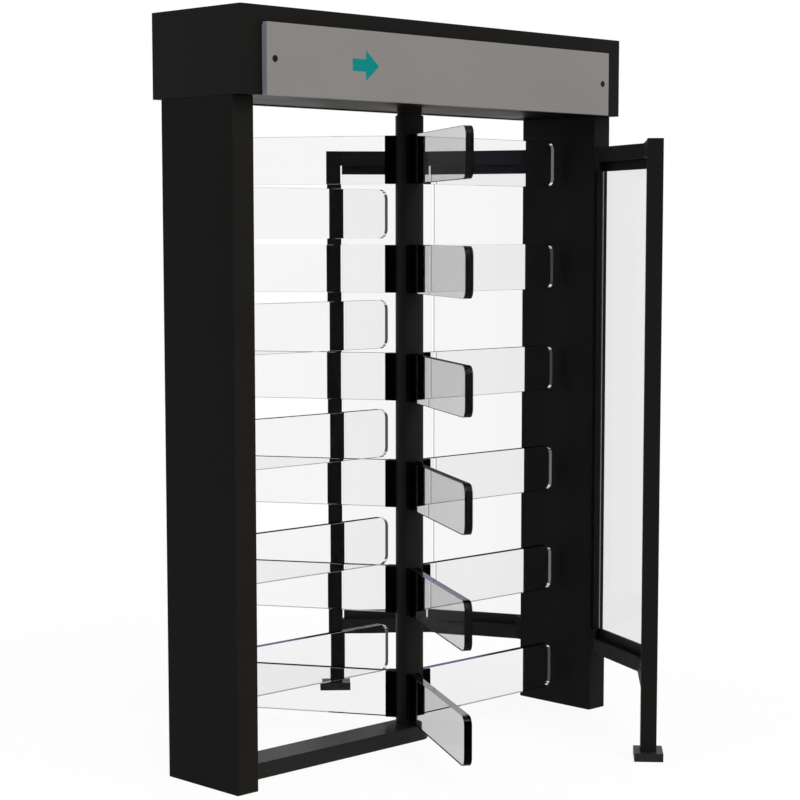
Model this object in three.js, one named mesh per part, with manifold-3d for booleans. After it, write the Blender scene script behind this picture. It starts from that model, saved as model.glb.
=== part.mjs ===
// Full height turnstile: a three-wing rotor between two columns, a comb of fixed plates on the left,
// a two-facet glazed guard on each side of the right, and the mechanism in the housing overhead.
// Millimetres, +Z up. The origin is on the floor at the rotor's axis, +X runs along the housing
// towards the guards, and -Y is the entry side, where the housing's access cover is.

import * as THREE from 'three';
import { mergeVertices } from 'three/addons/utils/BufferGeometryUtils.js';
import Module from 'manifold-3d';

const wasm = await Module();
wasm.setup();

// Overall frame
const overallHeight = 2300;
const housingHeight = 254;
const housingDepth = 404;
const axisToLeftColumn = 793;
const axisToRightColumn = 720;
const columnWidth = 80;
const columnDepth = 325;
const columnWall = 4;
const footPlate = 10;
const cableHoleWidth = 40;
const cableHoleDepth = 160;

// Clearances
const seat = 0.3;
const running = 0.03;
const overrun = 6;

// Overhead housing
const housingWall = 3;
const bottomLip = 20;
const panelMargin = 4;
const doorRim = 14;
const doorSill = 30;
const doorHead = 12;
const neckGap = 2.5;

// Access cover
const coverHeight = 206;
const coverProud = 21.5;
const coverWall = 3;
const hingeRadius = 3.5;
const hingePinRadius = 2;
const hingeGap = 0.5;
const knuckles = 7;
const lockInset = 31;
const lockRadius = 9.5;
const lockProud = 1;
const tongueReach = 29;
const tongueWidth = 16;
const tongueThickness = 3;

// Floor bar
const barWidth = 120;
const barHeight = 50;
const barWall = 6;
const bossRadius = 30;

// Rotor
const levels = 6;
const wings = 3;
const tubeRadius = 45;
const tubeWall = 5;
const neckLength = 21;
const footGap = 2;
const clampReach = 31;
const clampCheek = 9.5;
const clampWeb = 5;
const panelThickness = 25;
const panelCorner = 30;
const lowArmGap = 18.5;
const highArmGap = 83;
const combGap = 21;
const wingTipGap = 35;
const combTipGap = 33;
const combBite = 40;
const pocketWall = 8;

// Bearings and indexing
const plugLength = 60;
const bushLength = 40;
const pinRadius = 12.5;
const bossFloor = 12;
const pinReach = 36;
const pinShoulder = 22;
const plateThickness = 8;
const plateWest = 260;
const plateMargin = 56;
const bearingFlange = 150;
const bearingFlangeThickness = 12;
const bearingRadius = 48;
const bearingHeight = 40;
const shaftRadius = 20;
const shaftTop = 14;
const discRadius = 100;
const discThickness = 12;
const notches = 12;
const notchPlay = 5;

// Locking bolts
const boltWidth = 10;
const boltLength = 70;
const boltBack = 3.5;
const guideGap = 0.08;
const lockBlockGap = 8;
const lockBlockLength = 90;
const lockBlockCheek = 18;
const lockBlockRoof = 14;
const solenoidRadius = 16;
const solenoidLength = 46;

// Control box
const controlLength = 190;
const controlDepth = 130;
const controlHeight = 62;
const controlCentre = 520;
const controlLid = 8;
const controlLidStep = 3;

// Glazed guard
const guardSetIn = 32;
const innerFacet = 363;
const outerFacet = 352;
const innerAngle = THREE.MathUtils.degToRad(66.3);
const outerAngle = THREE.MathUtils.degToRad(41.4);
const railThickness = 43;
const railHeight = 50;
const railWall = 3;
const lowRailZ = 204.5;
const guardTopGap = 104;
const channelWall = 3.5;
const channelHeight = 31;
const channelWallGap = 6;
const channelBendGap = 2;
const channelPostGap = 6;
const paneThickness = 10;
const paneBite = 22;
const postWidth = 50;
const postWall = 3;
const basePlate = 8;
const shoeLength = 109;
const shoeWidth = 91;
const shoeHeight = 27;
const shoeWall = 3;
const shoeGap = 3.5;
const bracketInset = 1;
const bracketWidth = 13;
const bracketDepth = 25;
const stripWidth = 3;
const stripDepth = 7;

// Facets of round stretches
const roundSides = 48;
const smallSides = 32;
const pinSides = 16;
const cornerSteps = 6;

// Heights and places that follow
const undersideZ = overallHeight - housingHeight;
const housingHalf = housingDepth / 2;
const columnHalf = columnDepth / 2;
const leftFace = -axisToLeftColumn - columnWidth;
const rightFace = axisToRightColumn + columnWidth;
const tubeBottom = barHeight + footGap;
const tubeTop = undersideZ - neckLength;
const tubeBore = tubeRadius - tubeWall;
const plugRadius = tubeBore - seat;
const clampRadius = tubeRadius + clampReach;
const clampWidth = panelThickness + 2 * clampCheek;
const pinDepth = barHeight - bossFloor;
const armSpan = undersideZ - highArmGap - barHeight - lowArmGap;
const armPitch = (armSpan + combGap) / (levels - 1 / 2);
const panelHeight = armPitch / 2 - combGap;
const lowArmZ = barHeight + lowArmGap + panelHeight / 2;
const wingRadius = axisToRightColumn - wingTipGap;
const armRoot = tubeRadius + clampWeb + seat;
const combTip = clampRadius + combTipGap;
const panelZ = undersideZ + housingWall + seat;
const panelTop = panelZ + housingWall;
const plateZ = panelTop + seat;
const plateTop = plateZ + plateThickness;
const bearingZ = plateTop + seat;
const bearingTop = bearingZ + bearingHeight;
const discZ = bearingTop + seat;
const discMiddle = discZ + discThickness / 2;
const notchAngle = Math.PI / notches;
const notchReach = discRadius * Math.sin(notchAngle);
const notchRadius = boltWidth / 2 + notchPlay;
const lockBlockX = discRadius + lockBlockGap;
const plateEast = lockBlockX + lockBlockLength + solenoidLength + plateMargin;
const coverFront = -housingHalf - coverProud;
const coverTop = undersideZ + coverHeight;
const hingeY = -housingHalf - hingeGap - hingeRadius;
const hingeZ = coverTop - hingeRadius;
const lockZ = undersideZ + coverHeight / 2;
const bendShare = Math.tan((innerAngle - outerAngle) / 2);
const topRailZ = undersideZ - guardTopGap - railHeight;
const channelThickness = paneThickness + 2 * channelWall;
const channelOffset = (railThickness - channelThickness) / 2;
const basePlateLength = shoeLength - 2 * (shoeWall + shoeGap);
const basePlateWidth = shoeWidth - 2 * (shoeWall + shoeGap);

// Materials
function paint(color, roughness, metalness) {
  return new THREE.MeshStandardMaterial({ color, roughness, metalness });
}

function clear(color, opacity) {
  return new THREE.MeshStandardMaterial({ color, roughness: 0.05, metalness: 0, transparent: true, opacity });
}

const blackPaint = paint(0x262523, 0.45, 0.4);
const coverPaint = paint(0x6f6c67, 0.4, 0.4);
const clampPaint = paint(0x0b0b0b, 0.6, 0.2);
const steel = paint(0x9a9a98, 0.35, 0.9);
const darkSteel = paint(0x55565a, 0.4, 0.8);
const bronze = paint(0x9c7a3c, 0.4, 0.8);
const plastic = paint(0xd8d8d4, 0.6, 0);
const acrylic = clear(0xdfe4e8, 0.35);
const glass = clear(0xe8f0ee, 0.3);

// Geometry helpers
function block([x0, x1], [y0, y1], [z0, z1]) {
  const geometry = new THREE.BoxGeometry(x1 - x0, y1 - y0, z1 - z0);
  return geometry.translate((x0 + x1) / 2, (y0 + y1) / 2, (z0 + z1) / 2);
}

function post(radius, z0, z1, sides = roundSides) {
  const geometry = new THREE.CylinderGeometry(radius, radius, z1 - z0, sides);
  geometry.rotateX(Math.PI / 2);
  return geometry.translate(0, 0, (z0 + z1) / 2);
}

function rodAlongX(radius, [x0, x1], y, z, sides = pinSides) {
  const geometry = new THREE.CylinderGeometry(radius, radius, x1 - x0, sides);
  geometry.rotateZ(Math.PI / 2);
  return geometry.translate((x0 + x1) / 2, y, z);
}

function rodAlongY(radius, [y0, y1], x, z, sides = smallSides) {
  const geometry = new THREE.CylinderGeometry(radius, radius, y1 - y0, sides);
  return geometry.translate(x, (y0 + y1) / 2, z);
}

function prism(outline, [z0, z1]) {
  const shape = outline instanceof THREE.Shape ? outline : new THREE.Shape(outline);
  const settings = { depth: z1 - z0, bevelEnabled: false, curveSegments: cornerSteps };
  return new THREE.ExtrudeGeometry(shape, settings).translate(0, 0, z0);
}

// A hole of flat sides that a shaft of the same number of sides can turn in
function boreRadius(radius, sides) {
  return (radius + running) / Math.cos(Math.PI / sides);
}

function solid(geometry) {
  const bare = geometry.clone();
  bare.deleteAttribute('normal');
  bare.deleteAttribute('uv');
  const merged = mergeVertices(bare);
  const vertProperties = merged.attributes.position.array;
  const triVerts = new Uint32Array(merged.index.array);
  return new wasm.Manifold(new wasm.Mesh({ numProp: 3, vertProperties, triVerts }));
}

function join(...geometries) {
  return geometries.map(solid).reduce((whole, piece) => whole.add(piece));
}

function surface(body) {
  const { vertProperties, triVerts } = body.getMesh();
  const geometry = new THREE.BufferGeometry();
  geometry.setAttribute('position', new THREE.BufferAttribute(vertProperties, 3));
  geometry.setIndex(new THREE.BufferAttribute(triVerts, 1));
  geometry.computeVertexNormals();
  return geometry;
}

const turnstile = new THREE.Group();

function place(parent, name, shape, material) {
  const geometry = shape.isBufferGeometry ? shape : surface(shape);
  const mesh = new THREE.Mesh(geometry, material);
  mesh.name = name;
  parent.add(mesh);
  return mesh;
}

// Clear plate with two rounded corners at its tip, upright in the XZ plane and centred on Z = 0
function clearPlate(root, tip) {
  const half = panelHeight / 2;
  const inner = half - panelCorner;
  const shape = new THREE.Shape();
  shape.moveTo(root, -half);
  shape.lineTo(tip - panelCorner, -half);
  shape.absarc(tip - panelCorner, -inner, panelCorner, -Math.PI / 2, 0, false);
  shape.lineTo(tip, inner);
  shape.absarc(tip - panelCorner, inner, panelCorner, 0, Math.PI / 2, false);
  shape.lineTo(root, half);
  shape.closePath();
  const geometry = prism(shape, [-panelThickness / 2, panelThickness / 2]);
  return geometry.rotateX(Math.PI / 2);
}

// Columns: open rectangular tubes with a pierced foot plate
function columnBody(x0) {
  const x1 = x0 + columnWidth;
  const top = undersideZ - seat;
  const middle = (x0 + x1) / 2;
  const inside = [x0 + columnWall, x1 - columnWall];
  const insideY = [-columnHalf + columnWall, columnHalf - columnWall];
  const cable = [middle - cableHoleWidth / 2, middle + cableHoleWidth / 2];
  const cableY = [-cableHoleDepth / 2, cableHoleDepth / 2];
  return solid(block([x0, x1], [-columnHalf, columnHalf], [0, top]))
    .subtract(solid(block(inside, insideY, [footPlate, top + overrun])))
    .subtract(solid(block(cable, cableY, [-overrun, footPlate + overrun])));
}

function combZ(index) {
  return lowArmZ + (index + 1 / 2) * armPitch;
}

function addColumns() {
  let left = columnBody(leftFace);
  const face = -axisToLeftColumn;
  const root = face - combBite;
  const half = panelThickness / 2 + seat;
  for (let index = 0; index < levels - 1; index += 1) {
    const z = combZ(index);
    const tall = panelHeight / 2 + seat;
    const pocketX = [root - seat - pocketWall, face - columnWall / 2];
    const pocketY = [-half - pocketWall, half + pocketWall];
    const pocketZ = [z - tall - pocketWall, z + tall + pocketWall];
    left = left.add(solid(block(pocketX, pocketY, pocketZ)));
  }
  for (let index = 0; index < levels - 1; index += 1) {
    const z = combZ(index);
    const tall = panelHeight / 2 + seat;
    left = left.subtract(solid(block([root - seat, face + overrun], [-half, half], [z - tall, z + tall])));
    place(turnstile, `comb_plate_${index + 1}`, clearPlate(root, -combTip), acrylic).position.z = z;
  }
  place(turnstile, 'left_column', left, blackPaint);
  place(turnstile, 'right_column', columnBody(axisToRightColumn), blackPaint);
}

// Overhead housing: a folded box with lips below, a door opening in front and the fixed half of the hinge
function addHousing() {
  const inside = [leftFace + housingWall, rightFace - housingWall];
  const insideY = [-housingHalf + housingWall, housingHalf - housingWall];
  const insideZ = [undersideZ + housingWall, overallHeight - housingWall];
  const mouthX = [-axisToLeftColumn + bottomLip, axisToRightColumn - bottomLip];
  const mouthY = [-housingHalf + bottomLip, housingHalf - bottomLip];
  const doorX = [-axisToLeftColumn + doorRim, axisToRightColumn - doorRim];
  const doorZ = [undersideZ + doorSill, coverTop - doorHead];
  let housing = solid(block([leftFace, rightFace], [-housingHalf, housingHalf], [undersideZ, overallHeight]))
    .subtract(solid(block(inside, insideY, insideZ)))
    .subtract(solid(block(mouthX, mouthY, [undersideZ - overrun, undersideZ + housingWall + overrun])))
    .subtract(solid(block(doorX, [-housingHalf - overrun, -housingHalf + housingWall + overrun], doorZ)));
  for (const x0 of [leftFace, axisToRightColumn]) {
    const middle = x0 + columnWidth / 2;
    const cable = [middle - cableHoleWidth / 2, middle + cableHoleWidth / 2];
    const cableY = [-cableHoleDepth / 2, cableHoleDepth / 2];
    const hole = block(cable, cableY, [undersideZ - overrun, undersideZ + housingWall + overrun]);
    housing = housing.subtract(solid(hole));
  }
  for (const [x0, x1] of knuckleSpans(0)) {
    const web = block([x0, x1], [hingeY, -housingHalf + housingWall / 2], [hingeZ, coverTop]);
    housing = housing.add(solid(web)).add(solid(rodAlongX(hingeRadius, [x0, x1], hingeY, hingeZ)));
  }
  const spans = knuckleSpans(0);
  const pin = [spans[0][0], spans[spans.length - 1][1]];
  housing = housing.add(solid(rodAlongX(hingePinRadius, pin, hingeY, hingeZ)));
  place(turnstile, 'lintel_housing', housing, blackPaint);

  const panelX = [-axisToLeftColumn + panelMargin, axisToRightColumn - panelMargin];
  const panelY = [insideY[0] + panelMargin, insideY[1] - panelMargin];
  const neckHole = post(plugRadius + neckGap, panelZ - overrun, panelTop + overrun);
  const panel = solid(block(panelX, panelY, [panelZ, panelTop])).subtract(solid(neckHole));
  place(turnstile, 'underside_panel', panel, blackPaint);
}

// The hinge's knuckles along X: even ones are fixed to the housing, odd ones to the cover
function knuckleSpans(first) {
  const start = -axisToLeftColumn + coverWall + hingeGap;
  const end = axisToRightColumn - coverWall - hingeGap;
  const length = (end - start) / knuckles;
  const spans = [];
  for (let index = first; index < knuckles; index += 2) {
    spans.push([start + index * length + seat / 2, start + (index + 1) * length - seat / 2]);
  }
  return spans;
}

// Access cover: a face plate bonded to a frame that is hinged along its top edge, with two quarter-turn locks
function addCover() {
  const back = -housingHalf - seat;
  const plateBack = coverFront + coverWall;
  const frameFront = plateBack + seat;
  const x0 = -axisToLeftColumn;
  const x1 = axisToRightColumn;
  const insideX = [x0 + coverWall, x1 - coverWall];
  const insideZ = [undersideZ + coverWall, coverTop - coverWall];
  const hingeSlotY = [hingeY - hingeRadius - hingeGap, back + overrun];
  const hingeSlotZ = [hingeZ - hingeRadius - hingeGap, coverTop + overrun];
  let frame = solid(block([x0, x1], [frameFront, back], [undersideZ, coverTop]))
    .subtract(solid(block(insideX, [frameFront - overrun, back + overrun], insideZ)))
    .subtract(solid(block(insideX, hingeSlotY, hingeSlotZ)))
    .subtract(solid(block([x0 - overrun, x1 + overrun], [hingeY, back + overrun], hingeSlotZ)));
  for (const span of knuckleSpans(1)) {
    const web = block(span, [frameFront, hingeY], [hingeZ, coverTop]);
    frame = frame.add(solid(web)).add(solid(rodAlongX(hingeRadius, span, hingeY, hingeZ)));
  }
  const bore = boreRadius(hingePinRadius, pinSides);
  frame = frame.subtract(solid(rodAlongX(bore, insideX, hingeY, hingeZ)));
  const lockX = { left: x0 + lockInset, right: x1 - lockInset };
  let plate = solid(block([x0, x1], [coverFront, plateBack], [undersideZ, coverTop]));
  for (const x of Object.values(lockX)) {
    const faceSpan = [coverFront - overrun, plateBack + overrun];
    plate = plate.subtract(solid(rodAlongY(boreRadius(lockRadius, smallSides), faceSpan, x, lockZ)));
  }
  place(turnstile, 'front_cover', plate, coverPaint);
  place(turnstile, 'cover_frame', frame, coverPaint);

  const tongueY = -housingHalf + housingWall + seat;
  for (const [side, x] of Object.entries(lockX)) {
    const barrel = rodAlongY(lockRadius, [coverFront - lockProud, tongueY], x, lockZ);
    const tongueX = [x - tongueWidth / 2, x + tongueWidth / 2];
    const tongueZ = [lockZ - tongueWidth / 2, lockZ + tongueReach];
    const tongue = block(tongueX, [tongueY - tongueThickness / 2, tongueY + tongueThickness], tongueZ);
    const cutZ = [lockZ + lockRadius, lockZ + tongueReach + overrun];
    const cut = block(tongueX, [tongueY - tongueThickness, tongueY], cutZ);
    place(turnstile, `cover_lock_${side}`, join(barrel, tongue).subtract(solid(cut)), clampPaint);
  }
}

// Floor bar: a ribbed cover with a round nose on the rotor's axis and a boss for the pivot pin
function barOutline(halfWidth, x0) {
  const shape = new THREE.Shape();
  shape.moveTo(x0, -halfWidth);
  shape.lineTo(0, -halfWidth);
  shape.absarc(0, 0, halfWidth, -Math.PI / 2, Math.PI / 2, false);
  shape.lineTo(x0, halfWidth);
  shape.closePath();
  return shape;
}

function addFoot() {
  const x0 = -axisToLeftColumn + seat;
  const half = barWidth / 2;
  const noseSettings = { bevelEnabled: false, curveSegments: smallSides / 2 };
  const outer = new THREE.ExtrudeGeometry(barOutline(half, x0), { ...noseSettings, depth: barHeight });
  const cavityDepth = barHeight - barWall + overrun;
  const innerOutline = barOutline(half - barWall, x0 + barWall);
  const inner = new THREE.ExtrudeGeometry(innerOutline, { ...noseSettings, depth: cavityDepth });
  const bar = solid(outer)
    .subtract(solid(inner.translate(0, 0, -overrun)))
    .add(solid(post(bossRadius, 0, barHeight - barWall / 2, smallSides)))
    .subtract(solid(post(pinRadius + seat, barHeight - pinDepth - seat, barHeight + overrun, smallSides)));
  place(turnstile, 'floor_bar', bar, blackPaint);

  const pin = join(
    post(pinRadius, barHeight - pinDepth, tubeBottom + pinReach, smallSides),
    post(pinShoulder, barHeight + seat, tubeBottom - seat, smallSides),
  );
  place(turnstile, 'pivot_pin', pin, steel);
}

// Rotor: tube with welded clamps, eighteen arms, the index shaft in its top and the bush in its foot
function addRotor() {
  const rotor = new THREE.Group();
  turnstile.add(rotor);
  let tube = solid(post(tubeRadius, tubeBottom, tubeTop));
  const half = panelHeight / 2;
  const slotHalf = panelThickness / 2 + seat;
  for (let level = 0; level < levels; level += 1) {
    const z = lowArmZ + level * armPitch;
    for (let wing = 0; wing < wings; wing += 1) {
      const turn = (wing * 2 * Math.PI) / wings;
      const clamp = block([0, clampRadius], [-clampWidth / 2, clampWidth / 2], [z - half, z + half]);
      const slotZ = [z - half - overrun, z + half + overrun];
      const slot = block([armRoot - seat, clampRadius + overrun], [-slotHalf, slotHalf], slotZ);
      tube = tube.add(solid(clamp.rotateZ(turn))).subtract(solid(slot.rotateZ(turn)));
      const name = `arm_${level + 1}_${'abc'[wing]}`;
      const arm = place(rotor, name, clearPlate(armRoot, wingRadius), acrylic);
      arm.position.z = z;
      arm.rotation.z = turn;
    }
  }
  tube = tube.subtract(solid(post(tubeBore, tubeBottom - overrun, tubeTop + overrun)));
  place(rotor, 'rotor_post', tube, clampPaint);

  const bushTop = tubeBottom + bushLength;
  const bushRadius = boreRadius(pinRadius, smallSides);
  const bushBore = post(bushRadius, tubeBottom - overrun, bushTop + overrun, smallSides);
  const bush = solid(post(plugRadius, tubeBottom, bushTop)).subtract(solid(bushBore));
  place(rotor, 'lower_bush', bush, bronze);

  let shaft = join(
    post(plugRadius, tubeTop - plugLength, plateTop - seat),
    post(shaftRadius, plateTop - plateThickness, discZ + discThickness + shaftTop),
    post(discRadius, discZ, discZ + discThickness),
  );
  for (let notch = 0; notch < notches; notch += 1) {
    const turn = (notch + 1 / 2) * 2 * notchAngle;
    const cutter = post(notchRadius, discZ - seat, discZ + discThickness + seat, pinSides);
    cutter.translate(discRadius, 0, 0).rotateZ(turn);
    shaft = shaft.subtract(solid(cutter));
  }
  place(rotor, 'index_shaft', shaft, clampPaint);
}

// Mechanism: bearing plate, flanged bearing, lock block with two solenoids, bolts and the control box
function addMechanism() {
  const depth = housingHalf - housingWall - panelMargin;
  const neckHole = post(plugRadius + neckGap, plateZ - overrun, plateTop + overrun);
  const plate = solid(block([-plateWest, plateEast], [-depth, depth], [plateZ, plateTop]));
  place(turnstile, 'mechanism_plate', plate.subtract(solid(neckHole)), steel);

  const flange = bearingFlange / 2;
  const bearing = join(
    block([-flange, flange], [-flange, flange], [bearingZ, bearingZ + bearingFlangeThickness]),
    post(bearingRadius, bearingZ, bearingTop),
  ).subtract(solid(post(boreRadius(shaftRadius, roundSides), bearingZ - overrun, bearingTop + overrun)));
  place(turnstile, 'upper_bearing', bearing, darkSteel);

  const x1 = lockBlockX + lockBlockLength;
  const blockHalf = notchReach + boltWidth / 2 + lockBlockCheek;
  const blockTop = discMiddle + boltWidth / 2 + lockBlockRoof;
  let lockBlock = solid(block([lockBlockX, x1], [-blockHalf, blockHalf], [plateTop + seat, blockTop]));
  const guide = boltWidth / 2 + guideGap;
  const boltX = [discRadius + boltBack, discRadius + boltBack + boltLength];
  const boltZ = [discMiddle - boltWidth / 2, discMiddle + boltWidth / 2];
  for (const [name, side] of [['lock_bolt_entry', -1], ['lock_bolt_exit', 1]]) {
    const y = side * notchReach;
    const tunnelX = [lockBlockX - overrun, boltX[1] + seat];
    const tunnel = block(tunnelX, [y - guide, y + guide], [discMiddle - guide, discMiddle + guide]);
    const coil = rodAlongX(solenoidRadius, [x1 - overrun, x1 + solenoidLength], y, discMiddle, smallSides);
    lockBlock = lockBlock.add(solid(coil)).subtract(solid(tunnel));
    place(turnstile, name, block(boltX, [y - boltWidth / 2, y + boltWidth / 2], boltZ), steel);
  }
  place(turnstile, 'lock_block', lockBlock, darkSteel);

  const box = [-controlCentre - controlLength / 2, -controlCentre + controlLength / 2];
  const boxY = [-controlDepth / 2, controlDepth / 2];
  const boxZ = [panelTop + seat, panelTop + seat + controlHeight];
  const lidX = [box[0] - controlLidStep, box[1] + controlLidStep];
  const lidY = [boxY[0] - controlLidStep, boxY[1] + controlLidStep];
  const lid = block(lidX, lidY, [boxZ[1] - controlLid, boxZ[1]]);
  place(turnstile, 'control_box', join(block(box, boxY, boxZ), lid), plastic);
}

// Guard: everything is an upright prism over a plan laid out along two facets from the column to the post
function guardPlan(side) {
  const start = new THREE.Vector2(axisToRightColumn + guardSetIn, -columnHalf);
  const frames = [];
  for (const [angle, length] of [[innerAngle, innerFacet], [outerAngle, outerFacet]]) {
    const along = new THREE.Vector2(-Math.cos(angle), -Math.sin(angle));
    const out = new THREE.Vector2(Math.sin(angle), -Math.cos(angle));
    frames.push({ origin: start.clone(), along, out, length });
    start.addScaledVector(along, length);
  }
  const at = (facet, station, offset) => {
    const { origin, along, out } = frames[facet];
    const point = origin.clone().addScaledVector(along, station).addScaledVector(out, offset);
    return new THREE.Vector2(point.x, side * -point.y);
  };
  // Station where a line at this offset meets the column's face
  const wall = (offset) => {
    const { origin, along, out } = frames[0];
    return (-columnHalf - seat - origin.y - out.y * offset) / along.y;
  };
  const bend = (offset) => innerFacet + offset * bendShare - seat / 2;
  const turn = (offset) => -offset * bendShare + seat / 2;
  const end = () => outerFacet - postWidth / 2 - seat;
  const rectangle = (facet, [s0, s1], [o0, o1]) => {
    const corners = [[s0, o0], [s1, o0], [s1, o1], [s0, o1]];
    return corners.map(([station, offset]) => at(facet, station, offset));
  };
  const railPlan = (facet, half, extra) => {
    const [first, last] = facet === 0 ? [wall, bend] : [turn, end];
    return [
      at(facet, first(-half) - extra, -half),
      at(facet, last(-half) + extra, -half),
      at(facet, last(half) + extra, half),
      at(facet, first(half) - extra, half),
    ];
  };
  return { rectangle, railPlan };
}

function addGuard(sideName, side) {
  const plan = guardPlan(side);
  const facets = ['inner', 'outer'];
  const half = railThickness / 2;
  const lowZ = [lowRailZ, lowRailZ + railHeight];
  const topZ = [topRailZ, topRailZ + railHeight];
  const channelOut = [channelOffset - channelThickness / 2, channelOffset + channelThickness / 2];
  const grooveHalf = paneThickness / 2 + seat;
  const groove = [channelOffset - grooveHalf, channelOffset + grooveHalf];
  const paneOut = [channelOffset - paneThickness / 2, channelOffset + paneThickness / 2];
  const spans = [
    [channelWallGap, innerFacet - channelBendGap],
    [channelBendGap, outerFacet - postWidth / 2 - channelPostGap],
  ];
  const bracketX = [axisToRightColumn + bracketInset, axisToRightColumn + bracketInset + bracketWidth];
  const wallY = (depth) => {
    const face = side * (columnHalf + seat);
    const far = face + side * depth;
    return [Math.min(face, far), Math.max(face, far)];
  };
  const bracketY = wallY(bracketDepth);
  const lowMouth = lowZ[1] + channelHeight;
  const topMouth = topZ[0] - channelHeight;
  const lowBracket = [lowZ[0], lowMouth];
  const topBracket = [topMouth, topZ[1]];
  const grown = ([low, high]) => [low - seat, high + seat];

  const paneZ = [lowMouth - paneBite, topMouth + paneBite];
  const rails = [
    { railName: 'bottom', railZ: lowZ, channelZ: [lowZ[1] - railWall, lowMouth], bracketZ: lowBracket,
      grooveZ: [paneZ[0] - seat, lowMouth + overrun] },
    { railName: 'top', railZ: topZ, channelZ: [topMouth, topZ[0] + railWall], bracketZ: topBracket,
      grooveZ: [topMouth - overrun, paneZ[1] + seat] },
  ];

  facets.forEach((facetName, facet) => {
    const grooveSpan = [spans[facet][0] - overrun, spans[facet][1] + overrun];
    for (const { railName, railZ, channelZ, grooveZ, bracketZ } of rails) {
      const insideZ = [railZ[0] + railWall, railZ[1] - railWall];
      let rail = solid(prism(plan.railPlan(facet, half, 0), railZ))
        .add(solid(prism(plan.rectangle(facet, spans[facet], channelOut), channelZ)))
        .subtract(solid(prism(plan.railPlan(facet, half - railWall, overrun), insideZ)))
        .subtract(solid(prism(plan.rectangle(facet, grooveSpan, groove), grooveZ)));
      if (facet === 0) {
        rail = rail.subtract(solid(block(grown(bracketX), grown(bracketY), grown(bracketZ))));
      }
      place(turnstile, `${sideName}_guard_${railName}_rail_${facetName}`, rail, blackPaint);
    }
    const pane = prism(plan.rectangle(facet, spans[facet], paneOut), paneZ);
    place(turnstile, `${sideName}_guard_pane_${facetName}`, pane, glass);
  });

  const stripX = [bracketX[1] - stripWidth, bracketX[1]];
  const stile = join(
    block(bracketX, bracketY, lowBracket),
    block(bracketX, bracketY, topBracket),
    block(stripX, wallY(stripDepth), [lowBracket[1] - overrun, topBracket[0] + overrun]),
  );
  place(turnstile, `${sideName}_guard_stile`, stile, clampPaint);
  addGuardPost(sideName, plan, topZ[1]);
}

// Square guard post with a base plate, and the shoe that covers the plate
function addGuardPost(sideName, plan, top) {
  const around = (length, width) => {
    const span = [outerFacet - length / 2, outerFacet + length / 2];
    return plan.rectangle(1, span, [-width / 2, width / 2]);
  };
  const bore = postWidth - 2 * postWall;
  const body = join(
    prism(around(postWidth, postWidth), [0, top]),
    prism(around(basePlateLength, basePlateWidth), [0, basePlate]),
  ).subtract(solid(prism(around(bore, bore), [-overrun, top - postWall])));
  place(turnstile, `${sideName}_guard_post`, body, blackPaint);

  const hole = postWidth + 2 * seat;
  const hollow = around(shoeLength - 2 * shoeWall, shoeWidth - 2 * shoeWall);
  const shoe = solid(prism(around(shoeLength, shoeWidth), [0, shoeHeight]))
    .subtract(solid(prism(hollow, [-overrun, shoeHeight - shoeWall])))
    .subtract(solid(prism(around(hole, hole), [-overrun, shoeHeight + overrun])));
  place(turnstile, `${sideName}_post_shoe`, shoe, blackPaint);
}

addColumns();
addHousing();
addCover();
addFoot();
addRotor();
addMechanism();
addGuard('front', -1);
addGuard('back', 1);

export default turnstile;
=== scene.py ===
import math

import bmesh
import bpy
from mathutils import Matrix, Vector


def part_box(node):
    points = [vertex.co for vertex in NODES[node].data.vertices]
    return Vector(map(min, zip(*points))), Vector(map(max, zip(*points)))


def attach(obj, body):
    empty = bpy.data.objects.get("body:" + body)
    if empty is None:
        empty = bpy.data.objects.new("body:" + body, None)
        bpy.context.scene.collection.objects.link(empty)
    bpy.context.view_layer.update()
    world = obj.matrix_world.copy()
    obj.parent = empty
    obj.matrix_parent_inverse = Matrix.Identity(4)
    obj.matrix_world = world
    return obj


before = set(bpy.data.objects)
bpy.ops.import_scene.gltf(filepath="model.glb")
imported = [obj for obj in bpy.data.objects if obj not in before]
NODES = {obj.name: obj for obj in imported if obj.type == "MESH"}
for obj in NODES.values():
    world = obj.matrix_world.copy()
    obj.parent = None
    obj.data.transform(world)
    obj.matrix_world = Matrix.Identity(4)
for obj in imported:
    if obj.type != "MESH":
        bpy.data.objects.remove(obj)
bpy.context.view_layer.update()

# Camera: place in metres, focal length and centre in pixels of the square picture, sensor in millimetres
EYE = Vector((-4.73666, -4.78086, 1.6502))
AZIMUTH = math.radians(45.21)
PITCH = math.radians(5.92)
FOCAL_PX = 2081.55
FRAME_PX = 800
CENTRE_PX = (411.48, 449.7)
SENSOR = 36.0
CLIP_NEAR = 0.1
CLIP_FAR = 200


def make_camera():
    data = bpy.data.cameras.new("camera")
    camera = bpy.data.objects.new("camera", data)
    bpy.context.scene.collection.objects.link(camera)
    level = math.cos(PITCH)
    ahead = Vector((math.cos(AZIMUTH) * level, math.sin(AZIMUTH) * level, -math.sin(PITCH)))
    right = Vector((math.sin(AZIMUTH), -math.cos(AZIMUTH), 0))
    up = right.cross(ahead)
    camera.matrix_world = Matrix.Translation(EYE) @ Matrix((right, up, -ahead)).transposed().to_4x4()
    data.sensor_width = SENSOR
    data.lens = FOCAL_PX / FRAME_PX * SENSOR
    data.shift_x = (FRAME_PX / 2 - CENTRE_PX[0]) / FRAME_PX
    data.shift_y = (CENTRE_PX[1] - FRAME_PX / 2) / FRAME_PX
    data.clip_start = CLIP_NEAR
    data.clip_end = CLIP_FAR
    bpy.context.scene.camera = camera


# The part of a noise's range that carries its change
NOISE_LOW = 0.3
NOISE_HIGH = 0.7


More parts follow.
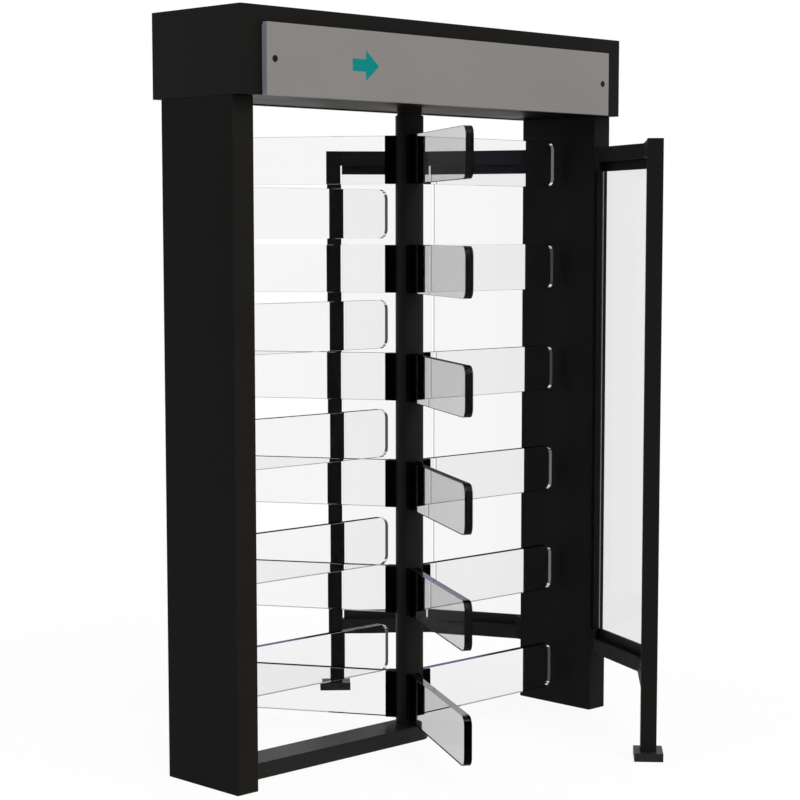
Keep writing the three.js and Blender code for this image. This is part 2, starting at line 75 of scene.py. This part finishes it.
class Graph:
    """A small wrapper to write node trees in few lines."""

    def __init__(self, tree):
        self.tree = tree
        tree.nodes.clear()

    def add(self, kind, **settings):
        node = self.tree.nodes.new(kind)
        for key, value in settings.items():
            setattr(node, key, value)
        return node

    def link(self, source, target):
        self.tree.links.new(source, target)

    def coordinates(self, scale=(1, 1, 1)):
        place = self.add("ShaderNodeTexCoord")
        mapping = self.add("ShaderNodeMapping")
        mapping.inputs["Scale"].default_value = scale
        self.link(place.outputs["Object"], mapping.inputs["Vector"])
        return mapping.outputs["Vector"]

    def noise(self, vector, scale, detail):
        node = self.add("ShaderNodeTexNoise")
        node.inputs["Scale"].default_value = scale
        node.inputs["Detail"].default_value = detail
        self.link(vector, node.inputs["Vector"])
        return node.outputs["Fac"]

    def ramp(self, fac, stops):
        """A colour that goes from one (place, colour) stop to the next."""
        node = self.add("ShaderNodeValToRGB")
        marks = node.color_ramp.elements
        while len(marks) < len(stops):
            marks.new(1)
        for mark, (place, colour) in zip(marks, stops):
            mark.position = place
            mark.color = (*colour, 1)
        self.link(fac, node.inputs["Fac"])
        return node.outputs["Color"]

    def drift(self, fac, colour, spread):
        """A colour that a noise makes darker and lighter by the share `spread`."""
        dark = [c * (1 - spread) for c in colour]
        light = [c * (1 + spread) for c in colour]
        return self.ramp(fac, [(NOISE_LOW, dark), (NOISE_HIGH, light)])

    def span(self, value, source, target):
        """A value mapped from the range `source` to the range `target`."""
        node = self.add("ShaderNodeMapRange")
        node.inputs["From Min"].default_value = source[0]
        node.inputs["From Max"].default_value = source[1]
        node.inputs["To Min"].default_value = target[0]
        node.inputs["To Max"].default_value = target[1]
        self.link(value, node.inputs["Value"])
        return node.outputs["Result"]

    def bands(self, stops):
        """A colour that changes with the object's x, from one (x, colour) stop to the next."""
        place = self.add("ShaderNodeTexCoord")
        axes = self.add("ShaderNodeSeparateXYZ")
        self.link(place.outputs["Object"], axes.inputs[0])
        first = stops[0][0]
        last = stops[-1][0]
        along = self.span(axes.outputs["X"], (first, last), (0, 1))
        return self.ramp(along, [((x - first) / (last - first), colour) for x, colour in stops])

    def bump(self, height, strength, distance):
        node = self.add("ShaderNodeBump")
        node.inputs["Strength"].default_value = strength
        node.inputs["Distance"].default_value = distance
        self.link(height, node.inputs["Height"])
        return node.outputs["Normal"]


# Noise of all coats: scale and detail of the slow drift, detail and bump of the fine grain
DRIFT_SCALE = 3.0
DRIFT_DETAIL = 3.0
GRAIN_DETAIL = 2.0
GRAIN_BUMP = 0.1
GRAIN_DEPTH = 0.0002


def material(name, colour, rough, spread=0.06, metallic=0.0, specular=0.5, grain=900.0, stretch=(1, 1, 1),
             tint=(1, 1, 1)):
    """Paint, plastic or metal: a slow drift of tone and roughness, and a fine grain that bumps it."""
    made = bpy.data.materials.new(name)
    made.use_nodes = True
    g = Graph(made.node_tree)
    out = g.add("ShaderNodeOutputMaterial")
    shader = g.add("ShaderNodeBsdfPrincipled")
    slow = g.noise(g.coordinates(), DRIFT_SCALE, DRIFT_DETAIL)
    fine = g.noise(g.coordinates(stretch), grain, GRAIN_DETAIL)
    g.link(g.drift(slow, colour, spread), shader.inputs["Base Color"])
    g.link(g.span(slow, (NOISE_LOW, NOISE_HIGH), rough), shader.inputs["Roughness"])
    g.link(g.bump(fine, GRAIN_BUMP, GRAIN_DEPTH), shader.inputs["Normal"])
    shader.inputs["Metallic"].default_value = metallic
    shader.inputs["Specular IOR Level"].default_value = specular
    shader.inputs["Specular Tint"].default_value = (*tint, 1)
    g.link(shader.outputs["BSDF"], out.inputs["Surface"])
    return made


# Noise and gloss of all clear sheets
CLEAR_SCALE = 5.0
CLEAR_SPREAD = 0.002
CLEAR_GLOSS = 0.02


def clear_material(name, ior, through, mirror=None, stops=None):
    """Clear sheet: it lets light through, and mirrors faintly as the view flattens.

    The mirror has one colour, `mirror`, or changes along the plate by `stops`, (x, colour) pairs in metres.
    On the rim finishes these colours are painted reflections, bright and dark, set facet by facet.
    """
    made = bpy.data.materials.new(name)
    made.use_nodes = True
    g = Graph(made.node_tree)
    out = g.add("ShaderNodeOutputMaterial")
    mix = g.add("ShaderNodeMixShader")
    fresnel = g.add("ShaderNodeFresnel")
    fresnel.inputs["IOR"].default_value = ior
    bend = g.add("ShaderNodeBsdfRefraction")
    bend.inputs["IOR"].default_value = ior
    bend.inputs["Roughness"].default_value = 0.0
    shine = g.add("ShaderNodeBsdfGlossy")
    shine.inputs["Roughness"].default_value = CLEAR_GLOSS
    if stops:
        g.link(g.bands(stops), shine.inputs["Color"])
    else:
        shine.inputs["Color"].default_value = (*mirror, 1)
    slow = g.noise(g.coordinates(), CLEAR_SCALE, DRIFT_DETAIL)
    g.link(g.drift(slow, through, CLEAR_SPREAD), bend.inputs["Color"])
    g.link(fresnel.outputs[0], mix.inputs["Fac"])
    g.link(bend.outputs[0], mix.inputs[1])
    g.link(shine.outputs[0], mix.inputs[2])
    g.link(mix.outputs[0], out.inputs["Surface"])
    return made


# Colour of the plain black coats, and the ranges of roughness that several coats share
BLACK = (0.0095, 0.0093, 0.009)
COLUMN_ROUGH = (0.44, 0.54)
PANEL_ROUGH = (0.42, 0.5)
BAR_ROUGH = (0.4, 0.48)
RAIL_ROUGH = (0.42, 0.52)
COVER_ROUGH = (0.38, 0.46)

# What the clear plates' facets let through, and the painted reflections, dark, blue and pale, that their rim
# facets mirror
ACRYLIC_IOR = 1.49
GLASS_IOR = 1.5
CUT = (0.97, 0.965, 0.96)
DARK_GLEAM = (0.085, 0.081, 0.075)
BLUE_GLEAM = (0.4, 0.44, 0.72)
PALE_GLEAM = (0.46, 0.44, 0.4)

# Painted reflection on the lowest comb's and arm's top edges, blue, dark, then pale along their length
COMB_GLEAM = [(-0.52, BLUE_GLEAM), (-0.44, DARK_GLEAM), (-0.34, DARK_GLEAM), (-0.28, PALE_GLEAM)]
ARM_GLEAM = [(0.3, BLUE_GLEAM), (0.39, DARK_GLEAM), (0.54, DARK_GLEAM), (0.57, PALE_GLEAM)]

MAT = {
    "black": material("black_coat", BLACK, COLUMN_ROUGH, specular=0.04),
    # Underside coat: the black paint warmer and glossier with a warm tint, a painted warm sheen
    "panel": material("panel_painted_warm_sheen_coat", (0.0185, 0.0145, 0.0085), PANEL_ROUGH, specular=0.064,
                      tint=(1.0, 0.9, 0.78)),
    "bar": material("bar_coat", BLACK, BAR_ROUGH, specular=0.13),
    # Shoe coat: the black paint a little lighter and glossier, painted light for their lit tops
    "shoe": material("shoe_painted_light_coat", (0.0105, 0.0102, 0.0098), BAR_ROUGH, specular=0.17),
    "rail": material("rail_coat", (0.0093, 0.0095, 0.0093), RAIL_ROUGH, specular=0.065),
    # Back guard rails: the black paint with a painted bluish reflection on the bottom rails and the top inner
    # rail, and painted shade on the top outer rail
    "rail_painted_blue_sheen": material("far_rail_painted_blue_sheen_coat", (0.0092, 0.0094, 0.0108), RAIL_ROUGH, specular=0.14),
    "rail_painted_blue_light": material("blue_rail_painted_light_coat", (0.0215, 0.0230, 0.0315), RAIL_ROUGH, specular=0.14),
    "rail_painted_shade": material("dull_rail_painted_shade_coat", (0.0024, 0.0024, 0.0025), RAIL_ROUGH, specular=0.185),
    # Columns: the black paint with less sheen as painted shade on the left faces, warmer and lighter as
    # painted light on the front faces, lighter as painted light on the right column's inner face
    "column_painted_shade_side": material("column_side_painted_shade_coat", BLACK, COLUMN_ROUGH, specular=0.022),
    "column_painted_light_front": material("column_front_painted_light_coat", (0.0118, 0.0108, 0.0091), COLUMN_ROUGH, specular=0.04),
    "column_painted_light_far": material("column_far_painted_light_coat", (0.0112, 0.0112, 0.011), COLUMN_ROUGH, specular=0.045),
    "tube": material("tube_coat", (0.0135, 0.0134, 0.013), (0.34, 0.42), specular=0.03),
    "clamp": material("clamp_coat", (0.0004, 0.0004, 0.0004), (0.5, 0.6), specular=0.01),
    "cover": material("cover_coat", (0.238, 0.23, 0.223), COVER_ROUGH, spread=0.02, specular=0.3),
    # Cover's left-facing faces: the cover paint tinted blue, painted cool light from the left
    "cover_painted_cool_side": material("cover_side_painted_cool_light_coat", (0.266, 0.269, 0.318), COVER_ROUGH, spread=0.02, specular=0.3),
    "steel": material("bright_steel", (0.56, 0.56, 0.55), (0.25, 0.36), metallic=1.0, grain=60,
                      stretch=(1, 1, 30)),
    "dark": material("dark_steel", (0.16, 0.16, 0.17), (0.32, 0.45), metallic=1.0, grain=400),
    "lock": material("lock_black", (0.008, 0.008, 0.009), (0.3, 0.4), specular=0.08),
    "bronze": material("bush_bronze", (0.45, 0.3, 0.12), (0.3, 0.4), metallic=1.0, grain=300),
    "plastic": material("box_plastic", (0.62, 0.62, 0.6), (0.5, 0.6), spread=0.02, grain=1500),
    "teal": material("teal_plastic", (0.0, 0.235, 0.235), (0.4, 0.5), spread=0.03, specular=0.1),
    "glass": clear_material("clear_glass", GLASS_IOR, (0.998, 0.998, 0.998), (0.12, 0.12, 0.12)),
    "acrylic": clear_material("clear_acrylic", ACRYLIC_IOR, (0.997, 0.997, 0.997), (0.06, 0.06, 0.06)),
    # Painted reflections on the clear plates' rims: bright painted glints on the corners, bluish and pale
    # painted gleams on some edges, painted shade on the ends and tips
    "corner": clear_material("painted_glint_corner", ACRYLIC_IOR, (0.99, 0.99, 0.99), (0.8, 0.8, 0.8)),
    "rim": clear_material("painted_blue_reflection_rim", ACRYLIC_IOR, CUT, (0.5, 0.52, 0.68)),
    "painted_bright_reflection_rim": clear_material("painted_bright_reflection_rim", ACRYLIC_IOR, CUT, (0.95, 0.97, 1.0)),
    "comb_painted_reflection_rim": clear_material("comb_painted_reflection_rim", ACRYLIC_IOR, CUT, stops=COMB_GLEAM),
    "arm_painted_reflection_rim": clear_material("arm_painted_reflection_rim", ACRYLIC_IOR, CUT, stops=ARM_GLEAM),
    "sole": clear_material("painted_pale_reflection_underside", ACRYLIC_IOR, CUT, (0.45, 0.45, 0.44)),
    "end": clear_material("painted_reflection_end", ACRYLIC_IOR, CUT, (0.24, 0.228, 0.212)),
    "painted_dark_reflection_end": clear_material("painted_dark_reflection_end", ACRYLIC_IOR, CUT, (0.04, 0.04, 0.038)),
    "tip": clear_material("painted_dark_reflection_tip", ACRYLIC_IOR, CUT, DARK_GLEAM),
    "painted_pale_reflection_tip": clear_material("painted_pale_reflection_tip", ACRYLIC_IOR, CUT, (0.165, 0.162, 0.157)),
    "painted_dim_reflection_tip": clear_material("painted_dim_reflection_tip", ACRYLIC_IOR, CUT, (0.06, 0.058, 0.054)),
}

# Faces of a CAD node are joined across this gap and this angle, and its edges are softened past the last one
WELD_GAP = 1e-5
FLAT_ANGLE = math.radians(0.5)
EDGE_ANGLE = math.radians(30)


def dress(name, finish, edge, steps):
    """Gives a CAD node its finish and softens its edges."""
    node = NODES[name]
    mesh = node.data
    mesh.materials.clear()
    mesh.materials.append(MAT[finish])
    if "custom_normal" in mesh.attributes:
        mesh.attributes.remove(mesh.attributes["custom_normal"])
    for face in mesh.polygons:
        face.use_smooth = True
    weld = node.modifiers.new("weld", "WELD")
    weld.merge_threshold = WELD_GAP
    flat = node.modifiers.new("flat", "DECIMATE")
    flat.decimate_type = "DISSOLVE"
    flat.angle_limit = FLAT_ANGLE
    bevel = node.modifiers.new("edge", "BEVEL")
    bevel.width = edge
    bevel.segments = steps
    bevel.limit_method = "ANGLE"
    bevel.angle_limit = EDGE_ANGLE
    bevel.harden_normals = True
    bevel.use_clamp_overlap = True


LEVELS = 6
ARMS = [f"arm_{level}_{wing}" for level in range(1, LEVELS + 1) for wing in "abc"]
COMBS = [f"comb_plate_{index}" for index in range(1, LEVELS)]
SIDES = ("front", "back")
FACETS = ("inner", "outer")
PANES = [f"{side}_guard_pane_{facet}" for side in SIDES for facet in FACETS]

# Nodes, their finish, the width of their softened edges in metres and its steps
DRESS = [
    (["lintel_housing"], "black", 0.0006, 2),
    (["left_column", "right_column"], "black", 0.0018, 2),
    (["underside_panel"], "panel", 0.0005, 1),
    (["floor_bar"], "bar", 0.0025, 3),
    ([f"front_guard_bottom_rail_{facet}" for facet in FACETS], "rail", 0.001, 2),
    ([f"front_guard_top_rail_{facet}" for facet in FACETS], "black", 0.001, 2),
    # The back guard's rails take copies of the black paint with painted bluish light and painted shade
    ([f"back_guard_bottom_rail_{facet}" for facet in FACETS], "rail_painted_blue_sheen", 0.001, 2),
    (["back_guard_top_rail_inner"], "rail_painted_blue_light", 0.001, 2),
    (["back_guard_top_rail_outer"], "rail_painted_shade", 0.001, 2),
    ([f"{side}_guard_post" for side in SIDES], "black", 0.002, 3),
    ([f"{side}_post_shoe" for side in SIDES], "shoe", 0.001, 2),
    ([f"{side}_guard_stile" for side in SIDES], "rail", 0.0006, 1),
    (PANES, "glass", 0.0008, 1),
    (ARMS + COMBS, "acrylic", 0.0003, 1),
    (["rotor_post"], "tube", 0.0004, 2),
    (["front_cover"], "cover", 0.0008, 2),
    (["cover_frame"], "cover", 0.0002, 1),
    (["cover_lock_left", "cover_lock_right"], "lock", 0.0008, 2),
    (["mechanism_plate", "pivot_pin", "lock_bolt_entry", "lock_bolt_exit"], "steel", 0.0008, 2),
    (["upper_bearing", "lock_block"], "dark", 0.001, 2),
    (["index_shaft"], "tube", 0.001, 2),
    (["lower_bush"], "bronze", 0.0006, 2),
    (["control_box"], "plastic", 0.003, 3),
]
for names, finish, edge, steps in DRESS:
    for name in names:
        dress(name, finish, edge, steps)

# Painted reflection of a clear plate's end, of the middle of its corners, of its top edge and of its
# underside
PLATE_LOOK = ("tip", "corner", "tip", "sole")
PAINTED_PALE_ARM_LOOK = ("painted_pale_reflection_tip", "corner", "tip", "sole")
PAINTED_DIM_ARM_LOOK = ("painted_dim_reflection_tip", "corner", "tip", "sole")
LOWEST_ARM_LOOK = ("tip", "corner", "arm_painted_reflection_rim", "sole")
LOWEST_COMB_LOOK = ("tip", "corner", "comb_painted_reflection_rim", "sole")
FRONT_WING_LOOK = ("end", "end", "tip", "tip")
LOW_FRONT_LOOK = ("end", "end", "rim", "tip")
LOWEST_FRONT_LOOK = ("painted_dark_reflection_end", "end", "painted_bright_reflection_rim", "tip")

# Levels count from the lowest. Wing a points to the right column, wing b to the back and wing c to the front
# Wing a's tips at these levels get a paler or a dimmer painted reflection
PAINTED_PALE_TIP_LEVELS = (2, 3, 6)
PAINTED_DIM_TIP_LEVELS = (4, 5)
LOOKS = {name: PLATE_LOOK for name in ARMS + COMBS}
LOOKS |= {f"arm_{level}_c": FRONT_WING_LOOK for level in range(1, LEVELS + 1)}
LOOKS |= {f"arm_{level}_a": PAINTED_PALE_ARM_LOOK for level in PAINTED_PALE_TIP_LEVELS}
LOOKS |= {f"arm_{level}_a": PAINTED_DIM_ARM_LOOK for level in PAINTED_DIM_TIP_LEVELS}
LOOKS |= {
    "arm_1_a": LOWEST_ARM_LOOK,
    "arm_1_c": LOWEST_FRONT_LOOK,
    "arm_2_c": LOW_FRONT_LOOK,
    "comb_plate_1": LOWEST_COMB_LOOK,
}

# How closely a facet's normal follows a plate's face, an axis, or the slant in the middle of a corner
ON_FACE = 0.9
ON_AXIS = 0.95
ON_SLANT = (0.5, 0.85)

# Material slots of a clear plate's rim, after the slot of its broad faces
END = 1
CORNER = 2
TOP_EDGE = 3
UNDERSIDE = 4


def rim_slot(lean):
    """The slot of a rim facet, from its normal's z."""
    if lean < -ON_AXIS:
        return UNDERSIDE
    if lean > ON_AXIS:
        return TOP_EDGE
    return CORNER if ON_SLANT[0] < abs(lean) < ON_SLANT[1] else END


def paint_rim_reflections(name, look):
    """Flat facets all round a clear plate, each with the painted reflection of its side."""
    node = NODES[name]
    mesh = node.data
    for finish in look:
        mesh.materials.append(MAT[finish])
    broad = max(mesh.polygons, key=lambda face: face.area).normal.copy()
    for face in mesh.polygons:
        face.use_smooth = False
        if abs(face.normal.dot(broad)) < ON_FACE:
            face.material_index = rim_slot(face.normal.z)
    node.modifiers["edge"].harden_normals = False


for name, look in LOOKS.items():
    paint_rim_reflections(name, look)

# Margins beyond the housing's lips and above its lowest faces, and the tube, with room for its facets
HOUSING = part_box("lintel_housing")
LIP = 0.02
FLUSH = 0.001
TUBE_RADIUS = 0.045
TUBE_ROOM = 1.01


def refinish(name, finish, picks):
    """Another finish for the faces of a node that `picks` chooses."""
    mesh = NODES[name].data
    mesh.materials.append(MAT[finish])
    for face in mesh.polygons:
        if picks(mesh, face):
            face.material_index = len(mesh.materials) - 1


def to_the_left(mesh, face):
    return face.normal.x < -ON_AXIS


def to_the_front(mesh, face):
    return face.normal.y < -ON_AXIS


def on_the_underside(mesh, face):
    """The housing's lowest faces, without the lip at its rear."""
    lowest = face.center.z < HOUSING[0].z + FLUSH
    return face.normal.z < -ON_AXIS and lowest and face.center.y < HOUSING[1].y - LIP


def inside_the_housing(mesh, face):
    return face.center.z > HOUSING[0].z + LIP


def beyond_the_tube(mesh, face):
    """The clamps' faces, which reach further from the axis than the tube."""
    return max(mesh.vertices[v].co.xy.length for v in face.vertices) > TUBE_RADIUS * TUBE_ROOM


REFINISH = [
    # The housing's underside faces take the panel coat's painted warm sheen
    ("lintel_housing", "panel", on_the_underside),
    # Column faces take the painted light and painted shade coats, by the way they face
    ("left_column", "column_painted_shade_side", to_the_left),
    ("left_column", "column_painted_light_front", to_the_front),
    ("right_column", "column_painted_light_far", to_the_left),
    # The cover's left-facing faces take the painted cool light
    ("front_cover", "cover_painted_cool_side", to_the_left),
    ("cover_frame", "cover_painted_cool_side", to_the_left),
    ("rotor_post", "clamp", beyond_the_tube),
    ("index_shaft", "steel", inside_the_housing),
]
for name, finish, picks in REFINISH:
    refinish(name, finish, picks)

# Plain arrow on the cover, in metres, with its shaft as a share of its height
ARROW_WIDTH = 0.108
ARROW_HEIGHT = 0.091
ARROW_SHAFT = 0.4
ARROW_FILM = 0.0004
ARROW_X = -0.4035


def make_arrow():
    """A plain arrow of sign film that points to the way through."""
    low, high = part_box("front_cover")
    middle = (low.z + high.z) / 2
    half = ARROW_WIDTH / 2
    tip = ARROW_HEIGHT / 2
    shaft = tip * ARROW_SHAFT
    outline = [(-half, -shaft), (0, -shaft), (0, -tip), (half, 0), (0, tip), (0, shaft), (-half, shaft)]
    bm = bmesh.new()
    corners = [bm.verts.new((ARROW_X + x, low.y, middle + z)) for x, z in outline]
    sheet = bm.faces.new(corners)
    lifted = bmesh.ops.extrude_face_region(bm, geom=[sheet])["geom"]
    for point in lifted:
        if isinstance(point, bmesh.types.BMVert):
            point.co.y -= ARROW_FILM
    bmesh.ops.recalc_face_normals(bm, faces=bm.faces)
    mesh = bpy.data.meshes.new("pass_arrow")
    bm.to_mesh(mesh)
    bm.free()
    mesh.materials.append(MAT["teal"])
    arrow = bpy.data.objects.new("pass_arrow", mesh)
    bpy.context.scene.collection.objects.link(arrow)
    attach(arrow, "cover")


make_arrow()


def camera_sees(g):
    """1 for camera, glossy and transmission rays, 0 for the rays that light the object."""
    path = g.add("ShaderNodeLightPath")
    first = g.add("ShaderNodeMath", operation="MAXIMUM")
    second = g.add("ShaderNodeMath", operation="MAXIMUM")
    g.link(path.outputs["Is Camera Ray"], first.inputs[0])
    g.link(path.outputs["Is Glossy Ray"], first.inputs[1])
    g.link(first.outputs[0], second.inputs[0])
    g.link(path.outputs["Is Transmission Ray"], second.inputs[1])
    return second.outputs[0]


# The world lights the object with a soft blue-white, and shows as white
WORLD_COLOUR = (0.92, 0.96, 1.04)
WORLD_STRENGTH = 0.5
WHITE = (1, 1, 1)


def make_world():
    world = bpy.data.worlds.new("studio")
    bpy.context.scene.world = world
    world.use_nodes = True
    g = Graph(world.node_tree)
    out = g.add("ShaderNodeOutputWorld")
    mix = g.add("ShaderNodeMixShader")
    light = g.add("ShaderNodeBackground")
    light.inputs["Color"].default_value = (*WORLD_COLOUR, 1)
    light.inputs["Strength"].default_value = WORLD_STRENGTH
    backdrop = g.add("ShaderNodeBackground")
    backdrop.inputs["Color"].default_value = (*WHITE, 1)
    g.link(camera_sees(g), mix.inputs["Fac"])
    g.link(light.outputs[0], mix.inputs[1])
    g.link(backdrop.outputs[0], mix.inputs[2])
    g.link(mix.outputs[0], out.inputs["Surface"])


# What the lamps and the world give the open floor, per channel, the share of it that shows as shadow, and the
# floor's colour for the light that it throws back
FLOOR_LIGHT = (1.013, 1.002, 0.996)
FLOOR_SHADE = 0.08
FLOOR_BOUNCE = 0.62
FLOOR_HALF = 120.0
FLOOR_DROP = 0.0004


def make_floor():
    mesh = bpy.data.meshes.new("floor")
    corners = [(-1, -1), (1, -1), (1, 1), (-1, 1)]
    mesh.from_pydata([(x * FLOOR_HALF, y * FLOOR_HALF, -FLOOR_DROP) for x, y in corners], [], [(0, 1, 2, 3)])
    floor = bpy.data.objects.new("floor", mesh)
    bpy.context.scene.collection.objects.link(floor)
    finish = bpy.data.materials.new("floor")
    finish.use_nodes = True
    g = Graph(finish.node_tree)
    out = g.add("ShaderNodeOutputMaterial")
    seen = g.add("ShaderNodeAddShader")
    pale = g.add("ShaderNodeBsdfDiffuse")
    pale.inputs["Color"].default_value = (FLOOR_SHADE, FLOOR_SHADE, FLOOR_SHADE, 1)
    glow = g.add("ShaderNodeEmission")
    glow.inputs["Color"].default_value = (*(1 - FLOOR_SHADE * level for level in FLOOR_LIGHT), 1)
    g.link(pale.outputs[0], seen.inputs[0])
    g.link(glow.outputs[0], seen.inputs[1])
    bounce = g.add("ShaderNodeBsdfDiffuse")
    bounce.inputs["Color"].default_value = (FLOOR_BOUNCE, FLOOR_BOUNCE, FLOOR_BOUNCE, 1)
    pick = g.add("ShaderNodeMixShader")
    g.link(camera_sees(g), pick.inputs["Fac"])
    g.link(bounce.outputs[0], pick.inputs[1])
    g.link(seen.outputs[0], pick.inputs[2])
    g.link(pick.outputs[0], out.inputs["Surface"])
    mesh.materials.append(finish)


# Name, direction to the lamp, level and colour
LAMPS = [
    ("key", (-0.1, -0.66, 0.74), 0.62, (1.0, 0.92, 0.81)),
    ("side", (-0.5, 0.1, 0.86), 0.12, (0.9, 0.95, 1.0)),
]
LAMP_SPREAD = math.radians(50)


def make_lamps():
    for name, towards, level, colour in LAMPS:
        data = bpy.data.lights.new(name, "SUN")
        data.energy = level * math.pi
        data.color = colour
        data.angle = LAMP_SPREAD
        lamp = bpy.data.objects.new(name, data)
        bpy.context.scene.collection.objects.link(lamp)
        lamp.rotation_mode = "QUATERNION"
        lamp.rotation_quaternion = Vector(towards).to_track_quat("Z", "Y")


make_camera()
make_world()
make_floor()
make_lamps()
bpy.context.scene.view_settings.view_transform = "Standard"
